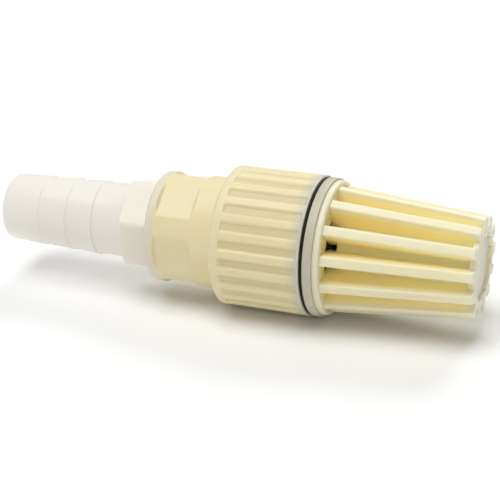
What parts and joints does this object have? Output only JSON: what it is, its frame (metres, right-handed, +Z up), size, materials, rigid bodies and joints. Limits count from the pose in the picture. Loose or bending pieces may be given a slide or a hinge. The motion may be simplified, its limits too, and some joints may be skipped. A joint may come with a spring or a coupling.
{
  "type": "foot valve",
  "caption": "Plastic foot valve: barbed hose nipple, threaded body with ribbed barrel, spring-loaded disc valve inside and a tapered finned strainer.",
  "frame": {"origin": "under the middle of the valve's length and on the surface that it lies on; the valve's axis is 25.695 mm above it", "axes": "+X along the valve's axis from the hose nipple to the strainer, +Z up from the surface that it lies on"},
  "size_m": [0.1842, 0.0518, 0.0518],
  "materials": {
    "cream_plastic": "satin, slightly translucent",
    "clear_plastic": "natural translucent, satin",
    "white_plastic": "satin",
    "black_rubber": "matte",
    "spring_steel": "bright stainless wire"
  },
  "bodies": {
    "body": {"valve_body": "cream_plastic", "guide_spider": "white_plastic", "return_spring": "spring_steel"},
    "valve": {"valve_poppet": "white_plastic", "rubber_seal": "black_rubber", "seal_retainer": "black_rubber", "stem_clip": "spring_steel"},
    "o_ring": {"flange_o_ring": "black_rubber"},
    "strainer": {"seat_ring": "cream_plastic", "strainer_cage": "cream_plastic"},
    "packing": {"nipple_packing": "black_rubber"},
    "nipple": {"hose_nipple": "clear_plastic"}
  },
  "joints": [
    {"name": "valve_lift", "type": "slide", "parent": "body", "child": "valve", "axis": [-1, 0, 0], "range_m": [0, 0.008], "stiffness_N_per_m": 60, "springref_m": -0.008, "deforming": ["return_spring"]},
    {"name": "strainer_travel", "type": "slide", "parent": "body", "child": "o_ring", "axis": [1, 0, 0], "range_m": [0, 0.01201]},
    {"name": "strainer_turn", "type": "hinge", "parent": "o_ring", "child": "strainer", "pos_m": [0, 0, 0.02569], "axis": [1, 0, 0], "range_deg": [0, 1440]},
    {"name": "nipple_travel", "type": "slide", "parent": "body", "child": "packing", "axis": [-1, 0, 0], "range_m": [0, 0.01386]},
    {"name": "nipple_turn", "type": "hinge", "parent": "packing", "child": "nipple", "pos_m": [0, 0, 0.02569], "axis": [-1, 0, 0], "range_deg": [0, 2160]}
  ],
  "couplings": [
    {"joint": "strainer_travel", "follows": "strainer_turn", "m_per_rad": 0.00047746},
    {"joint": "nipple_travel", "follows": "nipple_turn", "m_per_rad": 0.00036749}
  ]
}
